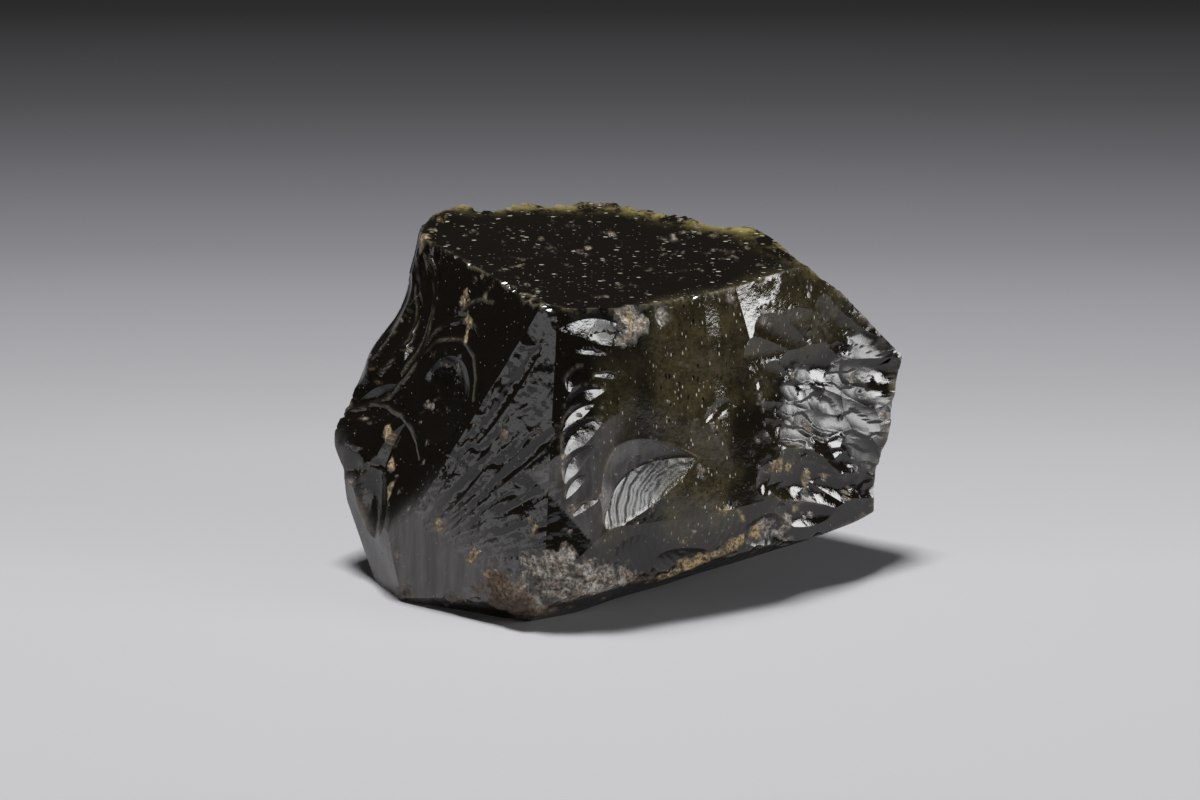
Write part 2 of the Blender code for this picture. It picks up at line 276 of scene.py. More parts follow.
def grain(p, size):
    """Lattice values at cells of that size in mm, blended with 6t^5 - 15t^4 + 10t^3."""
    q = p / size + 100.0
    i = np.floor(q).astype(int)
    t = q - i
    t = t * t * t * (t * (6 * t - 15) + 10)
    i %= 48
    j = (i + 1) % 48
    x0, y0, z0, x1, y1, z1 = i[:, 0], i[:, 1], i[:, 2], j[:, 0], j[:, 1], j[:, 2]
    tx, ty, tz = t[:, 0], t[:, 1], t[:, 2]
    a = LATTICE[x0, y0, z0] * (1 - tx) + LATTICE[x1, y0, z0] * tx
    b = LATTICE[x0, y1, z0] * (1 - tx) + LATTICE[x1, y1, z0] * tx
    c = LATTICE[x0, y0, z1] * (1 - tx) + LATTICE[x1, y0, z1] * tx
    d = LATTICE[x0, y1, z1] * (1 - tx) + LATTICE[x1, y1, z1] * tx
    return (a * (1 - ty) + b * ty) * (1 - tz) + (c * (1 - ty) + d * ty) * tz


def rough(p, size, layers=3, fall=0.5):
    """Sum of grains, each half the size and fall times the height of the one before."""
    total = np.zeros(len(p))
    for k in range(layers):
        total += fall ** k * grain(p + 13.7 * k, size / 2 ** k)
    return total


def fade(x, low, high):
    """0 below low, 1 above high, 3t^2 - 2t^3 between."""
    t = np.clip((x - low) / (high - low), 0.0, 1.0)
    return t * t * (3 - 2 * t)


def blob(p, centre, reach):
    """exp(-(distance over reach)^2) round a centre."""
    return np.exp(-((p - np.array(centre)) ** 2).sum(1) / reach ** 2)


def on_face(p, face, roll=0.0):
    """Steps along, up and out of a face."""
    point, bearing, lean = FACES[face][:3]
    out, da, du = axes(bearing, lean, roll)
    q = p - np.array(point)
    return q @ da, q @ du, q @ out


def from_chain(a, b, chain):
    """Distance in a plane to a chain of straight steps: the least over its steps, each being
    the distance to the step's nearest point."""
    least = np.full(len(a), 1e6)
    for (a0, b0), (a1, b1) in zip(chain[:-1], chain[1:]):
        da, db = a1 - a0, b1 - b0
        k = np.clip(((a - a0) * da + (b - b0) * db) / (da * da + db * db), 0.0, 1.0)
        least = np.minimum(least, np.hypot(a - a0 - k * da, b - b0 - k * db))
    return least


# ---- raised swirl lines of the left shoulder: steps along and up that face -------------------------
SWIRLS = [
    ((-10.5, -0.9), (-8.4, -2.9), (-6.9, -4.9), (-6.2, -7.4), (-5.8, -10.1), (-6.1, -13.2),
     (-7.4, -16.2), (-9.6, -19.2), (-13.2, -21.4), (-16.2, -23.2)),
    ((-11.6, -0.9), (-9.5, -3.1), (-8.0, -5.1), (-7.2, -7.4), (-6.9, -10.1), (-7.2, -13.0),
     (-8.4, -15.8)),
    ((-12.3, -5.0), (-11.0, -7.0), (-10.0, -9.2), (-9.9, -11.4), (-10.5, -14.4), (-12.4, -17.2)),
    ((-7.5, -16.9), (-6.3, -14.2), (-5.1, -11.9), (-3.4, -10.2), (-1.4, -9.4), (0.4, -9.1),
     (2.0, -9.3), (4.1, -10.5), (5.4, -12.7), (6.0, -15.2)),
    ((-5.6, -11.0), (-4.4, -9.1), (-2.5, -7.5), (0.2, -6.5), (2.3, -6.6), (3.9, -7.8)),
    ((-1.2, -5.8), (0.1, -4.2), (2.3, -3.3), (4.3, -3.1)),
    ((-16.2, -23.2), (-13.2, -21.2), (-9.5, -20.6), (-6.1, -21.0), (-3.4, -21.9), (-1.4, -23.3),
     (-0.3, -24.7)),
]
# ---- swellings and hollows a few millimetres wide: place, reach, rise -------------------------------
SWELLS = [
    ((-35.4, 1.6, 17.2), 3.4, 1.5), ((-31.8, 5.0, 27.6), 3.6, 1.2), ((-27.8, 6.8, 36.0), 4.6, -1.3),
    ((-26.0, 8.6, 41.0), 2.6, -0.5), ((-33.6, -1.4, 13.6), 1.6, -0.8), ((25.0, 1.0, 41.2), 4.0, -1.3),
    ((33.8, -2.6, 12.6), 4.6, -1.1), ((-24.6, 7.6, 42.0), 1.8, 0.5), ((-21.6, 12.8, 43.2), 2.0, 0.5),
]
# ---- satin patches of the crumpled right end: place and reach --------------------------------------
CRUMPLED = [
    ((23.4, -7.2, 23.2), 4.6), ((27.0, -5.0, 22.0), 3.0), ((24.2, -5.8, 27.6), 2.4),
    ((31.6, -1.7, 20.6), 4.6), ((29.4, -2.2, 25.4), 3.6), ((32.6, -1.9, 16.6), 3.4),
    ((32.4, 0.7, 27.6), 3.6), ((26.6, -1.7, 33.4), 1.2),
    ((12.4, -14.6, 22.4), 1.1), ((14.8, -13.4, 23.2), 1.0), ((5.3, -13.2, 38.4), 1.4),
    ((19.8, -10.6, 11.4), 1.8), ((24.0, -8.4, 12.0), 1.5), ((-1.4, -15.6, 37.6), 1.2),
]


# ---- where the old crust, rust and tan stone lie: place, reach, share -----------------------------
CRUST_SPOTS = [
    ((1.2, -15.4, 38.6), 1.7, 1.0), ((5.3, -13.5, 38.4), 0.9, 0.9),
    ((18.6, -11.2, 9.8), 1.8, 0.9), ((21.4, -9.8, 10.4), 1.5, 0.8),
    ((-7.7, -21.6, 6.9), 3.4, 1.0), ((-10.8, -21.4, 8.6), 2.2, 0.9), ((-3.2, -20.8, 6.4), 3.2, 1.0),
    ((0.6, -19.6, 5.6), 2.4, 0.7), ((-11.6, -20.6, 3.6), 2.2, 0.9),
    ((9.0, 15.5, 9.0), 4.5, 1.0), ((-17.0, 15.0, 8.0), 4.2, 0.9),
]
RUST_SPOTS = [
    ((-14.6, -20.0, 4.4), 2.6, 1.0), ((-11.4, -20.0, 2.2), 2.6, 1.0), ((-8.0, -19.4, 1.6), 2.2, 0.7),
    ((-26.5, -12.6, 1.4), 1.8, 0.7), ((-20.3, -16.4, 1.2), 1.5, 0.7), ((3.5, -17.6, 4.4), 1.8, 0.6),
    ((4.0, 16.0, 6.0), 4.0, 0.9), ((-24.0, 12.0, 20.0), 3.0, 0.8),
]
TAN_SPOTS = [
    ((6.6, -15.4, 4.8), 1.5, 0.8), ((8.6, -15.2, 5.6), 1.7, 1.0), ((10.4, -14.6, 6.6), 1.7, 1.0),
    ((12.6, -14.2, 7.6), 1.6, 1.0), ((14.8, -13.6, 8.3), 1.5, 0.9), ((17.6, -12.2, 9.2), 1.5, 0.9),
    ((22.8, -9.2, 11.0), 1.2, 0.8),
    ((1.7, -15.3, 38.9), 1.0, 0.8), ((2.6, -14.4, 39.9), 0.9, 0.8),
    ((8.6, -16.4, 8.0), 1.6, 0.5), ((6.1, -16.8, 21.4), 1.3, 0.8),
    ((14.4, -14.4, 13.4), 1.7, 0.9), ((20.4, -10.6, 17.8), 1.2, 0.9), ((21.9, -9.4, 16.9), 1.2, 0.8),
    ((23.8, -8.3, 15.7), 1.2, 0.7), ((26.4, -7.0, 14.2), 1.2, 0.7), ((29.1, -5.6, 12.6), 1.3, 0.8),
    ((-19.0, -6.1, 34.4), 1.3, 0.9),
    ((-18.8, -3.9, 38.1), 1.0, 0.8), ((-28.9, -3.9, 19.6), 1.0, 1.0), ((-28.8, -6.2, 16.6), 1.2, 1.0),
    ((-28.9, -8.0, 13.2), 1.0, 0.9), ((-32.5, 1.4, 26.0), 1.6, 0.9), ((-32.0, 1.0, 29.0), 1.3, 0.7),
    ((-25.0, 6.2, 41.6), 1.6, 0.62), ((-22.6, 11.4, 43.0), 1.6, 0.6), ((-22.2, -15.1, 10.0), 1.4, 0.7),
    ((-18.3, -17.5, 7.9), 1.5, 0.7), ((-15.8, -18.9, 6.4), 1.5, 0.8), ((-10.5, -19.0, 12.4), 1.6, 0.5),
    ((-35.0, 1.0, 16.0), 1.6, 0.5),
]


def spots(p, rows):
    """Largest of share times exp(-(distance over reach)^2) over a list of spots, each place
    first moved by up to a millimetre of grain so that no spot is round."""
    total = np.zeros(len(p))
    p = p + 0.9 * np.stack([grain(p + k, 2.1) for k in (3.0, 7.0, 11.0)], axis=1)
    for centre, reach, share in rows:
        total = np.maximum(total, share * blob(p, centre, reach))
    return total


def patches(p):
    """Share of satin, crumpled glass: spots with a ragged border."""
    most = np.zeros(len(p))
    for centre, reach in CRUMPLED:
        most = np.maximum(most, blob(p, centre, reach))
    return fade(most + 0.30 * rough(p + 3.0, 2.4, 3), 0.30, 0.52)


def add_swells(p, rise):
    """Swellings of lift times exp(-(distance over reach)^2), and a slow swell, sine times sine."""
    x, y, z = p[:, 0], p[:, 1], p[:, 2]
    for centre, reach, lift in SWELLS:
        rise += lift * blob(p, centre, reach)
    slow = np.sin(0.55 * x + 0.31 * z + 0.8) * np.sin(0.47 * y - 0.42 * z + 0.3)
    rise += WAVE * slow


def add_hackles(p, rise):
    """Hackles of the left front: grain drawn out along rays from one root, thin cracks where
    another grain is near zero, and a border past which the face sinks with the square of the
    distance."""
    s, t, h = on_face(p, "left front")
    far = np.hypot(s - HACKLE_ROOT[0], t - HACKLE_ROOT[1])
    turn = np.arctan2(t - HACKLE_ROOT[1], s - HACKLE_ROOT[0])
    rays = np.stack([turn * 27.0 + 0.35 * grain(p, 2.4), far / 4.2, 0.0 * far], axis=1)
    here = np.exp(-(h / 1.4) ** 2) * fade(far, 6.0, 14.0) * (1 - fade(s, 1.0, 3.0))
    rise += here * (0.058 * grain(rays, 1.15) + 0.032 * grain(rays + 7.1, 0.52)
                    + 0.028 * grain(p, 0.95) + 0.012 * grain(p, 0.5))
    crack = np.exp(-(grain(rays + 3.3, 1.5) / 0.15) ** 2) * fade(grain(p + 21.0, 2.6), -0.35, 0.10)
    crack *= 0.25 + 0.75 * fade(-t, 7.0, 15.0)
    rise -= here * 0.12 * crack
    over = (s + 2.0) * -0.879 + t * 0.476 + 2.2 * grain(p + 4.0, 5.0) + 0.9 * grain(p + 8.0, 2.2)
    face = np.exp(-(h / 1.4) ** 2)
    rise -= face * 0.013 * np.clip(over, 0.0, 6.0) ** 2
    rise += face * np.exp(-((over - 0.5) / 3.2) ** 2) * (0.040 * grain(p, 1.3) + 0.012 * grain(p, 0.6))
    rise -= face * 0.10 * fade(grain(p + 17.0, 1.9), 0.05, 0.40) * np.exp(-((over - 1.0) / 3.4) ** 2)


def add_swirls(p, rise):
    """Shell ripples round the bowl of the left shoulder, sine of the distance from its middle,
    and raised lines exp(-(distance over width)^2) along the swirls."""
    y = p[:, 1]
    s, t, h = on_face(p, "left shoulder")
    here = np.exp(-(h / 2.4) ** 2) * (y < 9)
    ring = np.hypot((s + 0.2) * 1.15, t + 16.1)
    rise += here * 0.006 * np.sin(2 * math.pi * ring / 1.25) * fade(ring, 2.0, 4.0)
    wob = 0.22 * grain(p, 2.2)
    for chain in SWIRLS:
        off = from_chain(s + wob, t - wob, chain)
        rise += here * (0.09 * np.exp(-(off / 0.23) ** 2) - 0.05 * np.exp(-((off - 0.7) / 0.5) ** 2))


def add_rib_marks(p, rise):
    """Fine steps on the front rib between the large ones, and slow shell waves over its plane,
    sine of the distance from a point left of it."""
    s, t, h = on_face(p, "front rib")
    here = np.exp(-(h / 1.2) ** 2) * np.exp(-(s / 3.0) ** 4) * (1 - fade(t, -3.0, -1.0))
    rise += here * 0.018 * grain(np.stack([s / 2.5, t + 0.25 * s + 0.1 * s * s, h * 0], axis=1), 0.9)
    ring = np.hypot(s + 9.0, t + 1.7)
    rise += np.exp(-(h / 1.0) ** 2) * 0.007 * np.sin(2 * math.pi * ring / 3.1) * fade(s, -8.0, -4.0)


def add_crumples(p, rise):
    """Crumpled glass on the right end: folds one less twice the size of a grain, and in the
    satin patches slanting treads, a slow climb and a quick fall, that look up."""
    x, z = p[:, 0], p[:, 2]
    s, t, h = on_face(p, "right end", -24.0)
    here = np.exp(-(h / 2.2) ** 2) * fade(x, 15.0, 19.0) * fade(z, 8.0, 11.0)
    satin = patches(p)
    bent = t + 1.3 * grain(p, 4.2) + 0.45 * grain(p + 31.0, 1.7)
    step = bent / 2.1 - np.floor(bent / 2.1)
    tread = np.where(step < 0.80, step / 0.80, (1.0 - step) / 0.20)
    folded = 1.0 - 2.0 * np.abs(grain(p + 5.0, 2.6))
    quiet = 1 - 0.75 * fade(z - 0.45 * x, 14.0, 19.0)
    comb = (s + 0.4 * t + 0.5 * grain(p, 1.6)) / 1.3
    rise += (here * fade(z - 0.45 * x, 16.5, 20.5) * fade(x, 18.5, 21.5) * 0.14
             * (1 - comb + np.floor(comb)))
    rise += here * (satin * (0.06 * folded - 0.15 * tread)
                    + (1 - satin) * quiet * (0.10 * folded + 0.03 * grain(p, 0.9)))


def add_flow_marks(p, rise):
    """Flow marks on the slate foot: grain drawn out nine times down the face."""
    s, t, h = on_face(p, "slate foot", 12.0)
    rise += np.exp(-(h / 1.0) ** 2) * 0.016 * grain(np.stack([s, t / 9.0, 0 * s], axis=1), 1.6)


def add_far_waves(p, rise):
    """Shell waves in the hollows of the far side: sine of a wandering distance."""
    y = p[:, 1]
    for face, cs, ct, pitch in (("back", -2.0, -2.0, 2.3), ("back left", 1.0, -3.0, 2.0),
                                ("back right", -7.0, -4.0, 2.1)):
        s, t, h = on_face(p, face)
        ring = np.hypot(s - cs, t - ct) + 1.3 * grain(p, 7.0) + 0.3 * grain(p, 2.5)
        here = np.exp(-(h / 3.0) ** 2) * (y > 0) * fade(grain(p + pitch, 6.0), -0.30, 0.35)
        rise += here * 0.022 * np.sin(2 * math.pi * ring / pitch)


def add_crust(p, rise):
    """Lumps of old crust and of tan stone: layered grain where their spots lie."""
    crust = np.maximum(spots(p, CRUST_SPOTS), 0.8 * spots(p, RUST_SPOTS))
    tan = spots(p, TAN_SPOTS)
    rise += fade(crust, 0.25, 0.75) * (0.30 * rough(p, 1.6, 4, 0.58) + 0.04)
    rise += fade(tan, 0.30, 0.80) * (0.22 * rough(p + 9.0, 1.2, 3, 0.6) + 0.02)


def rise_of(p):
    """How far the skin stands above the plain break surfaces at each place (mm): each kind of
    mark adds its own to one array."""
    rise = np.zeros(len(p))
    for mark in (add_swells, add_hackles, add_swirls, add_rib_marks, add_crumples, add_flow_marks,
                 add_far_waves, add_crust):
        mark(p, rise)
    return rise


# ---- the sheet that wraps the stone ---------------------------------------------------------------
def wrap_ways():
    """Ways out from the heart on a grid of two parameters a and b from -1 to 1: the square is
    squeezed to a disc, the disc's radius becomes the angle from the front, slow in front and
    fast behind, and the sheet's whole border meets at one point behind the stone."""
    na, nb = SHEET
    a, b = np.meshgrid(np.linspace(-1, 1, na + 1), np.linspace(-1, 1, nb + 1), indexing="ij")
    dx = a * np.sqrt(1 - 0.5 * b * b)
    dy = b * np.sqrt(1 - 0.5 * a * a)
    rad = np.clip(np.hypot(dx, dy), 0.0, 1.0)
    turn = np.arctan2(dy, dx)
    open_angle = math.pi * (0.56 * rad + 0.44 * rad ** 4)
    side = 36.0 * np.sin(open_angle) * np.cos(turn)
    lift = 24.0 * np.sin(open_angle) * np.sin(turn)
    ahead = 16.0 * np.cos(open_angle)
    tilt = math.radians(20.0)
    ways = np.stack([side,
                     -ahead * math.cos(tilt) + lift * math.sin(tilt),
                     ahead * math.sin(tilt) + lift * math.cos(tilt)], axis=-1)
    return ways / np.linalg.norm(ways, axis=-1, keepdims=True)


def build_breaks():
    """The faces, scars and notches, then by seeded chance flakes off two regions and little
    bites along the ridges."""
    br = Breaks()
    for point, bearing, lean, ba, bu in FACES.values():
        br.add((point, axes(bearing, lean), ba, bu))
    for face, along, up, deep, ha, hu, turn, tip, roll in SCARS:
        fr = axes(FACES[face][1] + turn, FACES[face][2] + tip, roll)
        br.add((spot(face, along, up) - fr[0] * deep, fr, 2 * deep / ha ** 2, 2 * deep / hu ** 2))
    for face, along, up, deep, half, roll, low, high in NOTCHES:
        point = spot(face, along, up) - axes(*FACES[face][1:3])[0] * deep
        br.add(*[(point, axes(FACES[face][1] + turn, FACES[face][2] + tip, roll),
                  share * 2 * deep / half ** 2, 0.02)
                 for (turn, tip), share in ((low, 1.0), (high, TREAD_BEND))])
    base = br.copy()
    base.close()
    rng = np.random.default_rng(5)
    ways = rng.normal(size=(TRIAL_PLACES, 3))
    ways /= np.linalg.norm(ways, axis=1, keepdims=True)
    p = HEART + ways * base.walk(ways, 0.0)[:, None]
    s1, _, s2, h2 = base.rank(p, 0.0)
    g1, g2 = base.slope(p, s1), base.slope(p, s2)
    flake = np.random.default_rng(23)
    fs, ft, fh = on_face(p, "right end")
    end = (np.abs(fh + 0.5) < 0.8) & (fs > 1.0) & (fs < 17.0)
    end &= (np.abs(ft) < 9.0) & (p[:, 1] < 4.0)
    far = (p[:, 1] > 3.0) & (p[:, 2] > 4.0) & (p[:, 2] < 33.0) & (np.abs(p[:, 0]) < 25.0)
    for region, count, least, most, roll in ((end, FACETS, 1.6, 3.6, -30),
                                             (far, FAR_FACETS, 3.0, 7.0, 20)):
        for i in flake.choice(np.nonzero(region)[0], count, replace=False):
            bearing = math.degrees(math.atan2(g1[i, 1], g1[i, 0])) + flake.uniform(-7, 7)
            lean = math.degrees(math.asin(g1[i, 2] / np.linalg.norm(g1[i]))) + flake.uniform(-7, 7)
            size = flake.uniform(least, most)
            deep = FLAKE_DEPTH * size
            fr = axes(bearing, lean, roll + flake.uniform(-25, 25))
            br.add((p[i] - fr[0] * deep, fr, 2 * deep / size ** 2, 2 * deep / (0.45 * size) ** 2))
    bend = (g1 * g2).sum(1)
    near = (h2 > -0.35) & (bend < 0.86) & (p[:, 2] > 1.2) & (s1 != REST) & (s2 != REST)
    near &= base.cut[s1] != base.cut[s2]
    near &= blob(p, (4.5, -18.0, 20.0), 9.0) < 0.35
    near &= (np.abs(p[:, 0] + 3.6) > 4.2) | (p[:, 1] > -14.0)
    pick = rng.choice(np.nonzero(near)[0], EDGE_CHIPS, replace=False)
    for i in pick:
        out = g1[i] + g2[i]
        out /= np.linalg.norm(out)
        bearing = math.degrees(math.atan2(out[1], out[0])) + rng.uniform(-25, 25)
        lean = math.degrees(math.asin(out[2])) + rng.uniform(-20, 20)
        size = rng.uniform(0.5, 1.5) if p[i, 1] < 6 else rng.uniform(0.8, 2.4)
        deep = CHIP_DEPTH * size
        fr = axes(bearing, lean, rng.uniform(0, 90))
        br.add((p[i] - fr[0] * deep * 0.8, fr, 2 * deep / size ** 2, 2 * deep / (0.7 * size) ** 2))
    br.close()
    return br


def skin(br, ways):
    """Places on the skin: the nearest break, re-found three times with the rise there."""
    rise = np.zeros(len(ways))
    for _ in range(4):
        p = HEART + ways * br.walk(ways, rise)[:, None]
        rise = rise_of(p)
    return p


def crisp(br, p, reach):
    """Slide places within reach of a ridge or valley onto it, along the two surfaces' slopes."""
    start = p
    for _ in range(3):
        rise = rise_of(p)
        s1, h1, s2, h2 = br.rank(p, rise)
        g1, g2 = br.slope(p, s1), br.slope(p, s2)
        a, b, c = (g1 * g1).sum(1), (g1 * g2).sum(1), (g2 * g2).sum(1)
        det = a * c - b * b
        ok = det > 0.02
        det = np.where(ok, det, 1.0)
        k1, k2 = (-h1 * c + h2 * b) / det, (-h2 * a + h1 * b) / det
        both = g1 * k1[:, None] + g2 * k2[:, None]
        good = ok & (np.linalg.norm(p + both - start, axis=1) < reach)
        alone = -g1 * (h1 / a)[:, None]
        p = p + np.where(good[:, None], both, alone)
    return p


def wrap(br):
    """The closed mesh: sheet places on the skin, the border closed on one point, and each cell
    halved along whichever diagonal lies nearer the skin."""
    na, nb = SHEET
    ways = wrap_ways()
    flat = ways.reshape(-1, 3)
    p = skin(br, flat)
    grid = p.reshape(na + 1, nb + 1, 3)
    step_a = np.linalg.norm(np.diff(grid, axis=0), axis=2)
    step_b = np.linalg.norm(np.diff(grid, axis=1), axis=2)
    span = np.zeros((na + 1, nb + 1))
    span[:-1] += step_a
    span[1:] = np.maximum(span[1:], step_a)
    span[:, :-1] = np.minimum(np.maximum(span[:, :-1], step_b), 2.0 * span[:, :-1] + 1e-6)
    p = crisp(br, p, 0.52 * span.ravel())
    number = np.arange((na + 1) * (nb + 1)).reshape(na + 1, nb + 1)
    pole = number[0, 0]
    number[0, :] = number[-1, :] = pole
    number[:, 0] = number[:, -1] = pole
    q00, q10, q11, q01 = (number[:-1, :-1].ravel(), number[1:, :-1].ravel(),
                          number[1:, 1:].ravel(), number[:-1, 1:].ravel())
    miss = []
    for m, n in ((q00, q11), (q10, q01)):
        mid = 0.5 * (p[m] + p[n])
        miss.append(np.abs(br.rank(mid, rise_of(mid))[1]))
    first = miss[0] <= miss[1]
    one = np.where(first[:, None], np.stack([q00, q10, q11], 1), np.stack([q00, q10, q01], 1))
    two = np.where(first[:, None], np.stack([q00, q11, q01], 1), np.stack([q10, q11, q01], 1))
    tri = np.concatenate([one, two])
    keep = (tri[:, 0] != tri[:, 1]) & (tri[:, 1] != tri[:, 2]) & (tri[:, 2] != tri[:, 0])
    tri = tri[keep]
    used, tri = np.unique(tri, return_inverse=True)
    return p[used], tri.reshape(-1, 3)


def corner_normals(br, p, tri):
    """Exact normals: slope of the surface that owns each triangle, less the slope of the rise."""
    mid = p[tri].mean(axis=1)
    owner = br.rank(mid, rise_of(mid))[0]
    base = rise_of(p)
    step = 0.02
    tilt = np.stack([(rise_of(p + np.eye(3)[k] * step) - base) / step for k in range(3)], axis=1)
    corners = tri.ravel()
    own = np.repeat(owner, 3)
    n = br.slope(p[corners], own) - np.where((own == REST)[:, None], 0.0, tilt[corners])
    return n / np.linalg.norm(n, axis=1, keepdims=True)


def make_chunk():
    """The stone's skin with its exact normals, and each mark as an attribute of its points."""
    br = build_breaks()
    p, tri = wrap(br)
    on_rest = np.abs(p[:, 2]) < 0.01
    p[on_rest, 2] = 0.0
    normals = corner_normals(br, p, tri)
    mesh = bpy.data.meshes.new("obsidian_chunk_skin")
    mesh.vertices.add(len(p))
    mesh.vertices.foreach_set("co", ((p - MIDDLE) * GROW).ravel())
    mesh.loops.add(tri.size)
    mesh.loops.foreach_set("vertex_index", tri.ravel())
    mesh.polygons.add(len(tri))
    mesh.polygons.foreach_set("loop_start", np.arange(0, tri.size, 3))
    mesh.update(calc_edges=True)
    mesh.validate()
    mesh.polygons.foreach_set("use_smooth", np.ones(len(mesh.polygons), bool))
    if len(mesh.loops) == len(normals):
        mesh.normals_split_custom_set(normals.tolist())
    s1, h1, s2, h2 = br.rank(p, rise_of(p))
    g1, g2 = br.slope(p, s1), br.slope(p, s2)
    turn = (g1 * g2).sum(1) / np.linalg.norm(g1, axis=1) / np.linalg.norm(g2, axis=1)
    # ridges: lighter and rougher, partly wear and partly painted highlight where the edges catch light
    edge_wear_and_glint = np.exp(-((h1 - h2) / 0.10) ** 2) * (br.cut[s1] != br.cut[s2]) * fade(-turn, -0.86, -0.66)
    for name, values in dict(marks(p), edge_wear_and_glint=edge_wear_and_glint).items():
        layer = mesh.attributes.new(name, "FLOAT", "POINT")
        layer.data.foreach_set("value", values)
    stone = bpy.data.objects.new("obsidian_chunk_skin", mesh)
    bpy.context.scene.collection.objects.link(stone)
    return stone


def marks(p):
    """What the material reads at each place: shares from 0 to 1 of crust, rust, tan stone, painted
    glow of light coming through the thin rim and the olive faces, satin, slate grey that is partly
    patina and partly painted reflection, painted highlight on the swirls, upward face, and for the
    shell ripples their share and the distance in mm that their waves are counted along."""
    x, y, z = p[:, 0], p[:, 1], p[:, 2]
    ragged = 0.34 * rough(p, 2.0, 4, 0.7)
    crust = fade(spots(p, CRUST_SPOTS) + ragged, 0.30, 0.62)
    rust = fade(spots(p, RUST_SPOTS) + ragged, 0.30, 0.75)
    tan = fade(spots(p, TAN_SPOTS) + ragged, 0.42, 0.76)
    # painted glow: pale olive along the thin back rim, where light would come through
    top = on_face(p, "top table")[2]
    rim = np.minimum(np.abs(on_face(p, "back")[2]), np.abs(on_face(p, "back right")[2]))
    rim = np.minimum(rim, np.abs(on_face(p, "right back slope")[2]) + 1.0)
    thin = np.exp(-(rim / 2.2) ** 2) * np.exp(-np.abs(top) / 2.5) * (y > -2)
    # painted glow: olive on the right front, on the top of the right end and beside the rib, where
    # light would come through the glass
    s, t, h = on_face(p, "right front")
    olive_glow = np.exp(-(h / 1.2) ** 2) * fade(s, -9.5, -5.0) * (1 - fade(x, 22.0, 30.0))
    olive_glow *= 1 - 0.85 * fade(-t, 30.0, 34.0)
    olive_glow *= 1 - 0.9 * np.exp(-((x - 17.4 + 1.2 * grain(p, 3.0)) / 3.0) ** 4) * fade(-z, -32.0, -27.0)
    end_h = on_face(p, "right end")[2]
    above = 0.7 * np.exp(-(end_h / 1.5) ** 2) * fade(z - 0.45 * x, 16.5, 19.5) * (x > 14)
    olive_glow = np.maximum(olive_glow, above)
    rib_s, rib_t, rib_h = on_face(p, "front rib")
    beside = 0.7 * np.exp(-(rib_h / 1.3) ** 2) * fade(rib_s, -1.0, 2.0) * fade(-rib_t, 4.0, 7.0)
    olive_glow = np.maximum(olive_glow, beside)
    # the crescent, in steps along it and across it: ripples too fine for the mesh below its
    # bent line, and the smooth lens above, which is painted grey as a painted floor reflection
    c, w = math.cos(math.radians(CRESCENT_ROLL)), math.sin(math.radians(CRESCENT_ROLL))
    ds, dt = s - CRESCENT_AT[0], t - CRESCENT_AT[1]
    run, side = ds * c + dt * w, dt * c - ds * w
    shell = np.hypot(run - 3.0, side + 11.0) + 0.22 * grain(p, 1.7) + 0.10 * grain(p, 0.7)
    sunk = fade(-h, 0.10, 0.4)
    lens = fade(side + 0.05 * run ** 2, 0.0, 0.6) * sunk * (np.abs(run) < 9) * (side < 8)
    ripple = fade(-side - 0.05 * run ** 2, -0.4, 0.2) * sunk * (np.abs(run) < 10)
    satin = patches(p)
    satin = np.maximum(satin, 0.9 * ripple)
    # slate grey: partly the dull patina of the slate foot and left sliver, partly painted floor
    # reflection there; on the lens it is painted reflection alone
    slate_and_sheen = np.exp(-(on_face(p, "slate foot")[2] / 0.8) ** 2)
    slate_and_sheen = np.maximum(slate_and_sheen, np.exp(-(on_face(p, "left sliver")[2] / 0.8) ** 2))
    slate_and_sheen = np.maximum(slate_and_sheen, 0.9 * lens)
    # painted highlight: pale grey along the raised swirl lines, where they catch light
    s, t, h = on_face(p, "left shoulder")
    swirl_highlight = np.zeros(len(p))
    wob = 0.22 * grain(p, 2.2)
    for chain in SWIRLS:
        off = from_chain(s + wob, t - wob, chain)
        swirl_highlight = np.maximum(swirl_highlight, np.exp(-(off / 0.17) ** 2))
    swirl_highlight *= np.exp(-(h / 2.4) ** 2) * (y < 9) * fade(grain(p + 2.0, 2.4), -0.4, 0.3)
    upward = np.exp(-(top / 1.0) ** 2)
    return {"crust": crust, "rust": rust, "tan": tan, "thin": thin, "olive_glow": olive_glow, "satin": satin,
            "slate_and_sheen": slate_and_sheen, "swirl_highlight": swirl_highlight, "upward": upward, "shell": shell, "ripple": ripple}


# ---- materials ----------------------------------------------------------------------------------
def srgb(code, alpha=1.0):
    """Hex colour to linear: c/12.92 below 0.04045, else ((c + 0.055)/1.055)^2.4."""
    parts = [int(code[k:k + 2], 16) / 255 for k in (1, 3, 5)]
    return [c / 12.92 if c <= 0.04045 else ((c + 0.055) / 1.055) ** 2.4 for c in parts] + [alpha]


TIMES = {"operation": "MULTIPLY"}
PLUS = {"operation": "ADD", "use_clamp": True}
MOST = {"operation": "MAXIMUM"}
BLEND = {"data_type": "RGBA", "clamp_factor": True}      # sockets 0 share, 6 and 7 the two colours
SMOOTH = {"interpolation_type": "SMOOTHSTEP"}
RESULT = {"ShaderNodeMix": 2, "ShaderNodeAttribute": 2}  # the output a bare node stands for, else 0


def add(tree, kind, settings=(), sockets=()):
    """A node of a kind with its settings; each socket takes a value, a node, or (node, output)."""
    node = tree.nodes.new("ShaderNode" + kind)
    for name, value in dict(settings).items():
        setattr(node, name, value)
    for name, value in dict(sockets).items():
        if isinstance(value, bpy.types.Node):
            value = (value, RESULT.get(value.bl_idname, 0))
        if isinstance(value, tuple) and isinstance(value[0], bpy.types.Node):
            tree.links.new(value[0].outputs[value[1]], node.inputs[name])
        else:
            node.inputs[name].default_value = value
    return node


def blank(name):
    """A material with an empty node tree."""
    mat = bpy.data.materials.new(name)
    mat.use_nodes = True
    mat.node_tree.nodes.clear()
    return mat, mat.node_tree


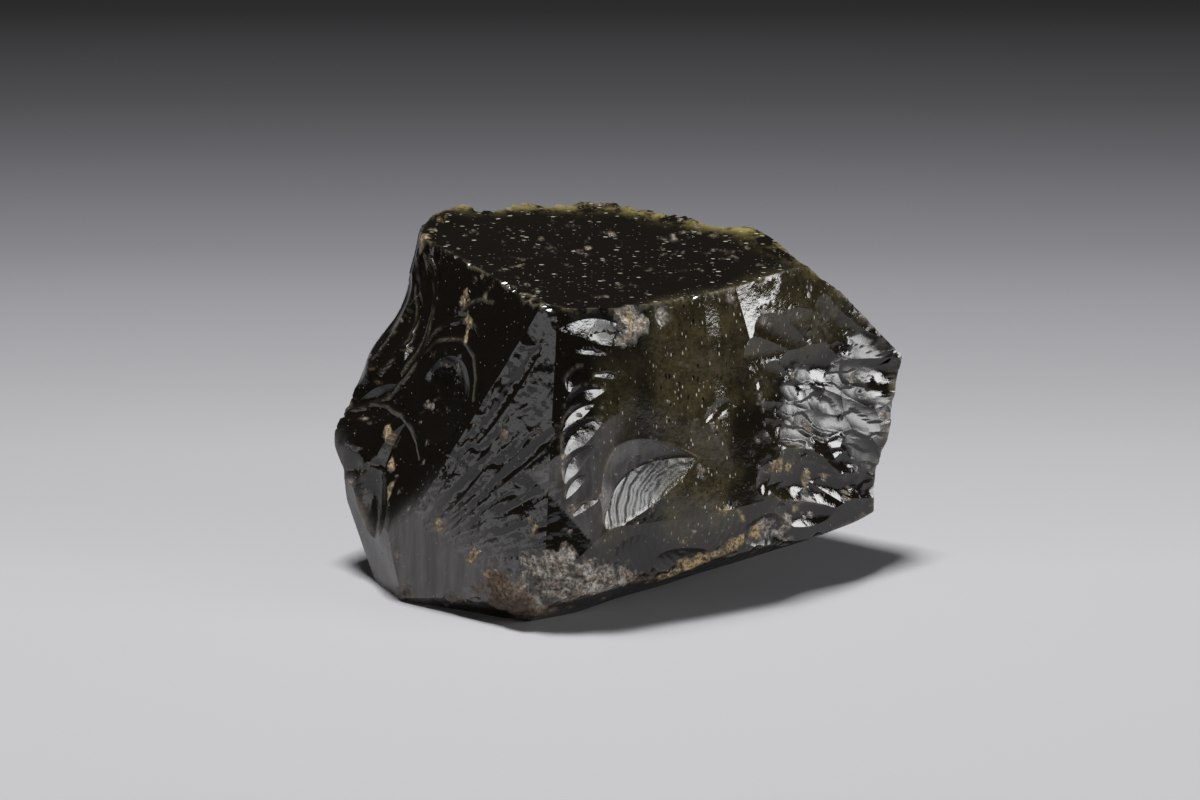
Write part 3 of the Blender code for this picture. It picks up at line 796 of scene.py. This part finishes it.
def flecks(tree, mm, stretch, size, chance):
    """Share of pale flecks: one in each cell of a stretched grid (cells 1/stretch mm), full
    inside half its size and gone at its size, most cells left empty, some flecks fainter."""
    flow = add(tree, "VectorMath", TIMES, {0: mm, 1: stretch})
    cell = add(tree, "TexVoronoi", {"voronoi_dimensions": "3D"}, {"Vector": flow, "Scale": 1.0})
    dot = add(tree, "MapRange", SMOOTH, {"Value": cell, "From Min": size * 0.5, "From Max": size,
                                         "To Min": 1.0, "To Max": 0.0})
    odd = add(tree, "SeparateColor", (), {"Color": (cell, "Color")})
    some = add(tree, "MapRange", SMOOTH, {"Value": odd, "From Min": 1 - chance,
                                          "From Max": 1.02 - chance})
    faint = add(tree, "Math", PLUS, {0: (odd, "Green"), 1: 0.35})
    here = add(tree, "Math", TIMES, {0: dot, 1: some})
    return add(tree, "Math", TIMES, {0: here, 1: faint})


def obsidian_broken():
    """Obsidian as it breaks: near-black volcanic glass, wet-looking and smooth; satin where it
    crumpled; painted olive glow where light would come through; painted grey reflection on the foot
    and lens, painted highlight on the swirls and, with wear, on the ridges; pale crystal specks drawn
    out along the flow; chalky grey to tan crust and rust where the old outside is kept."""
    mat, tree = blank("obsidian_broken")
    place = add(tree, "TexCoord")
    mm = add(tree, "VectorMath", {"operation": "SCALE"}, {0: (place, "Object"), "Scale": 1000.0})
    crust, rust, tan, thin, olive_glow, satin, slate_and_sheen, swirl_highlight, upward, shell, ripple, edge_wear_and_glint = [
        add(tree, "Attribute", {"attribute_name": k}) for k in
        ("crust", "rust", "tan", "thin", "olive_glow", "satin", "slate_and_sheen", "swirl_highlight", "upward", "shell",
         "ripple", "edge_wear_and_glint")]
    # noises: grit 0.5 mm, cloud 3 mm, stains 1.5 mm, waviness 0.9 mm, streaks 1 by 10 mm
    drawn = add(tree, "VectorMath", TIMES, {0: mm, 1: (0.9, 0.9, 0.10)})
    grit, cloud, stain, wavy, streak = [
        add(tree, "TexNoise", {"noise_dimensions": "3D"},
            {"Vector": where, "Scale": scale, "Detail": detail, "Roughness": roughness})
        for where, scale, detail, roughness in
        ((mm, 1.9, 6.0, 0.76), (mm, 0.30, 5.0, 0.68), (mm, 0.7, 3.0, 0.6), (mm, 1.15, 4.0, 0.62),
         (drawn, 1.0, 5.0, 0.6))]
    cloudy, mottled, patchy, gritty, streaky, light, stained = [
        add(tree, "MapRange", SMOOTH, {"Value": noise, "From Min": low, "From Max": high,
                                       "To Min": least, "To Max": 1.0})
        for noise, low, high, least in
        ((cloud, 0.34, 0.66, 0.35), (grit, 0.38, 0.60, 0.50), (cloud, 0.42, 0.60, 0.0),
         (grit, 0.35, 0.65, 0.35), (streak, 0.32, 0.68, 0.45), (grit, 0.36, 0.66, 0.0),
         (stain, 0.42, 0.58, 0.0))]
    # body: near black; a painted olive glow, mottled, where light would come through, with dark pits
    share = add(tree, "Math", TIMES, {0: olive_glow, 1: cloudy})
    share = add(tree, "Math", TIMES, {0: share, 1: mottled})
    body = add(tree, "Mix", BLEND, {0: share, 6: srgb("#0e0b07"), 7: srgb("#403a27")})
    share = add(tree, "Math", TIMES, {0: flecks(tree, mm, (1.7, 1.7, 0.8), 0.34, 0.30), 1: olive_glow})
    body = add(tree, "Mix", BLEND, {0: share, 6: body, 7: srgb("#0a0806")})
    # each layer: the mark, what breaks it up, how much of it shows, its colour
    # the thin rim is painted glow, the slate grey partly patina and partly painted reflection, the
    # swirl lines painted highlight, the ridges wear and painted highlight
    for mark, broken, most, code in ((thin, patchy, 1.0, "#8a7f4e"), (slate_and_sheen, streaky, 1.0, "#504d4d"),
                                     (swirl_highlight, gritty, 0.45, "#77705f"), (edge_wear_and_glint, patchy, 0.55, "#6f6752")):
        share = add(tree, "Math", TIMES, {0: mark, 1: broken})
        share = add(tree, "Math", TIMES, {0: share, 1: most})
        body = add(tree, "Mix", BLEND, {0: share, 6: body, 7: srgb(code)})
    # flecks 0.8 and 0.4 mm long on the upward face, ticks 0.7 mm tall in the painted olive glow, and
    # dots 0.2 mm across elsewhere
    speck = add(tree, "Math", TIMES, {0: flecks(tree, mm, (2.1, 2.1, 2.1), 0.20, 0.16), 1: 0.55})
    for stretch, size, chance, mark, most in (((0.50, 1.35, 1.9), 0.20, 0.50, upward, 1.0),
                                              ((1.3, 3.4, 3.4), 0.24, 0.16, upward, 0.55),
                                              ((2.3, 2.3, 0.62), 0.22, 0.60, olive_glow, 1.0)):
        share = add(tree, "Math", TIMES, {0: flecks(tree, mm, stretch, size, chance), 1: mark})
        share = add(tree, "Math", TIMES, {0: share, 1: most})
        speck = add(tree, "Math", MOST, {0: speck, 1: share})
    body = add(tree, "Mix", BLEND, {0: speck, 6: body, 7: srgb("#a39f90")})
    # crust: grit 0.5 mm, pale grey stained brown; tan stone; rust
    chalk, brown, sand = [
        add(tree, "Mix", BLEND, {0: light, 6: srgb(dark), 7: srgb(pale)})
        for dark, pale in (("#231f1c", "#b7b1a6"), ("#241a12", "#6d5945"), ("#2a2016", "#b59d6e"))]
    share = add(tree, "Math", TIMES, {0: stained, 1: 0.75})
    chalk = add(tree, "Mix", BLEND, {0: share, 6: chalk, 7: brown})
    for mark, cover in ((crust, chalk), (tan, sand), (rust, brown)):
        body = add(tree, "Mix", BLEND, {0: mark, 6: body, 7: cover})
    # gloss: glass 0.055, rougher by what lies on it, chalky 0.75 in the crust
    dull = add(tree, "Math", MOST, {0: crust, 1: tan})
    dull = add(tree, "Math", MOST, {0: dull, 1: rust})
    soft = add(tree, "Math", TIMES, {0: speck, 1: 0.35})
    for mark, most in ((satin, 0.25), (slate_and_sheen, 0.16), (swirl_highlight, 0.30), (edge_wear_and_glint, 0.25)):
        share = add(tree, "Math", TIMES, {0: mark, 1: most})
        soft = add(tree, "Math", MOST, {0: soft, 1: share})
    chalky = add(tree, "MapRange", SMOOTH, {"Value": dull, "To Min": 0.055, "To Max": 0.75})
    rough_by = add(tree, "Math", PLUS, {0: chalky, 1: soft})
    # micro relief: faint waviness of the glass, shell ripples, grit in the crust
    turns = add(tree, "Math", TIMES, {0: shell, 1: 2 * math.pi / RIPPLE_PITCH})
    wave = add(tree, "Math", {"operation": "SINE"}, {0: turns})
    wave = add(tree, "Math", TIMES, {0: wave, 1: ripple})
    crumb = add(tree, "Math", TIMES, {0: grit, 1: dull})
    relief = add(tree, "Bump", (), {"Height": wavy, "Distance": 0.000034})
    relief = add(tree, "Bump", (), {"Height": wave, "Distance": 0.000019, "Normal": relief})
    relief = add(tree, "Bump", (), {"Height": crumb, "Distance": 0.00030, "Normal": relief,
                                    "Strength": 0.9})
    glass = add(tree, "BsdfPrincipled", (), {"IOR": 1.62, "Base Color": body, "Roughness": rough_by,
                                             "Normal": relief})
    add(tree, "OutputMaterial", (), {"Surface": glass})
    return mat


# painted falloff of light: tone of the paper at distances in metres outside its pale part, the painted
# pool of light
PAPER_FALLOFF = ((0.0, "#b8b7ba"), (0.0435, "#adacaf"), (0.0725, "#9f9ea1"), (0.1116, "#8e8d91"),
         (0.14, "#7c7b7f"), (0.168, "#6e6d71"), (0.2, "#5d5c60"), (0.237, "#4b4a4c"),
         (0.313, "#2d2d2e"), (0.4, "#1a1a1b"))
POOL_HALF = 0.13         # half the width of the paper's painted pool of light (m)
POOL_FRONT = 0.14        # how far the painted pool of light reaches in front of the stone's middle (m)


def painted_falloff_paper():
    """Matt paper with light painted on: a painted pool of light a hand's breadth round the stone, and
    painted falloff darkening beyond it; the tone follows the distance outside a rectangle 260 mm by
    140 mm laid in front of the stone."""
    mat, tree = blank("painted_falloff_paper")
    place = add(tree, "TexCoord")
    axis = add(tree, "SeparateXYZ", (), {0: (place, "Object")})
    wide = add(tree, "Math", {"operation": "ABSOLUTE"}, {0: axis})
    wide = add(tree, "Math", {"operation": "SUBTRACT"}, {0: wide, 1: POOL_HALF})
    wide = add(tree, "Math", MOST, {0: wide, 1: 0.0})
    front = add(tree, "Math", {"operation": "MULTIPLY_ADD"},
                {0: (axis, "Y"), 1: -1.0, 2: -POOL_FRONT})
    deep = add(tree, "Math", MOST, {0: front, 1: (axis, "Y")})
    deep = add(tree, "Math", MOST, {0: deep, 1: 0.0})
    both = add(tree, "CombineXYZ", (), {"X": wide, "Y": deep})
    away = add(tree, "VectorMath", {"operation": "LENGTH"}, {0: both})
    reach = add(tree, "MapRange", (), {"Value": (away, "Value"), "From Max": PAPER_FALLOFF[-1][0]})
    tone = add(tree, "ValToRGB", (), {"Fac": reach})
    bar = tone.color_ramp
    while len(bar.elements) < len(PAPER_FALLOFF):
        bar.elements.new(0.5)
    for element, (where, code) in zip(bar.elements, PAPER_FALLOFF):
        element.position = where / PAPER_FALLOFF[-1][0]
        element.color = srgb(code)
    paper = add(tree, "BsdfPrincipled", (), {"Base Color": tone, "Roughness": 0.9,
                                             "Specular IOR Level": 0.0})
    add(tree, "OutputMaterial", (), {"Surface": paper})
    return mat


# ---- floor, lights, camera ------------------------------------------------------------------------
def make_floor():
    """A flat sheet of paper."""
    mesh = bpy.data.meshes.new("paper_floor")
    mesh.from_pydata([(-2.0, -1.2, 0.0), (2.0, -1.2, 0.0), (2.0, 2.4, 0.0), (-2.0, 2.4, 0.0)], [],
                     [(0, 1, 2, 3)])
    floor = bpy.data.objects.new("paper_floor", mesh)
    bpy.context.scene.collection.objects.link(floor)
    mesh.materials.append(painted_falloff_paper())


def lamp(name, place, aim, size, power, only=None):
    """A rectangle of light at a place, turned to an aim; where a collection is given, its light
    falls on that alone, as if flags kept it off the paper."""
    data = bpy.data.lights.new(name, "AREA")
    data.shape = "RECTANGLE"
    data.size, data.size_y = size
    data.energy = power
    thing = bpy.data.objects.new(name, data)
    bpy.context.scene.collection.objects.link(thing)
    thing.location = place
    away = np.array(place, float) - np.array(aim, float)
    away /= np.linalg.norm(away)
    yaw = math.atan2(away[0], -away[1])
    thing.rotation_euler = (math.acos(away[2]), 0.0, yaw)
    thing.visible_camera = False
    if only:
        thing.light_linking.receiver_collection = only


def make_light(stone):
    """A soft box overhead and behind, which throws the shadow; one high in front, a small one on
    the left and a low strip on the right, all three for the stone alone; a weaker strip in the
    same place for paper and stone; a card low on the left; and a dim room."""
    alone = bpy.data.collections.new("stone_only")
    alone.objects.link(stone)
    aim = (0.0, 0.0, 0.02)
    lamp("overhead_box", (-0.068, 0.052, 0.757), aim, (0.16, 0.16), 6.7)
    lamp("front_box", (0.110, -0.430, 0.650), aim, (0.24, 0.24), 2.0, alone)
    lamp("left_box", (-0.36, -0.30, 0.41), aim, (0.16, 0.16), 0.80, alone)
    lamp("right_strip", (0.636, -0.170, 0.190), aim, (0.24, 0.28), 2.4, alone)
    lamp("right_fill", (0.636, -0.170, 0.190), aim, (0.24, 0.28), 1.4)
    lamp("left_card", (-0.31, -0.245, 0.036), (0.0, 0.0, 0.036), (0.26, 0.072), 0.065)
    world = bpy.data.worlds.new("dim_room")
    world.use_nodes = True
    room = world.node_tree.nodes["Background"]
    room.inputs["Color"].default_value = (0.024, 0.024, 0.026, 1.0)
    room.inputs["Strength"].default_value = 1.0
    bpy.context.scene.world = world


def make_camera():
    """100 mm lens, 20 degrees above the floor, straight at the broad front."""
    data = bpy.data.cameras.new("camera")
    data.lens = 100.0
    data.sensor_width = 36.0
    data.sensor_fit = "HORIZONTAL"
    data.clip_start = 0.01
    cam = bpy.data.objects.new("camera", data)
    bpy.context.scene.collection.objects.link(cam)
    drawn = np.array([-2.2, -400.4, 168.4])
    cam.location = (drawn - MIDDLE) * GROW
    cam.rotation_euler = (math.radians(70.0), 0.0, 0.0)
    bpy.context.scene.camera = cam


stone = make_chunk()
stone.data.materials.append(obsidian_broken())
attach(stone, "root")
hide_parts("obsidian_chunk")
make_floor()
make_light(stone)
make_camera()
bpy.context.scene.view_settings.view_transform = "Standard"
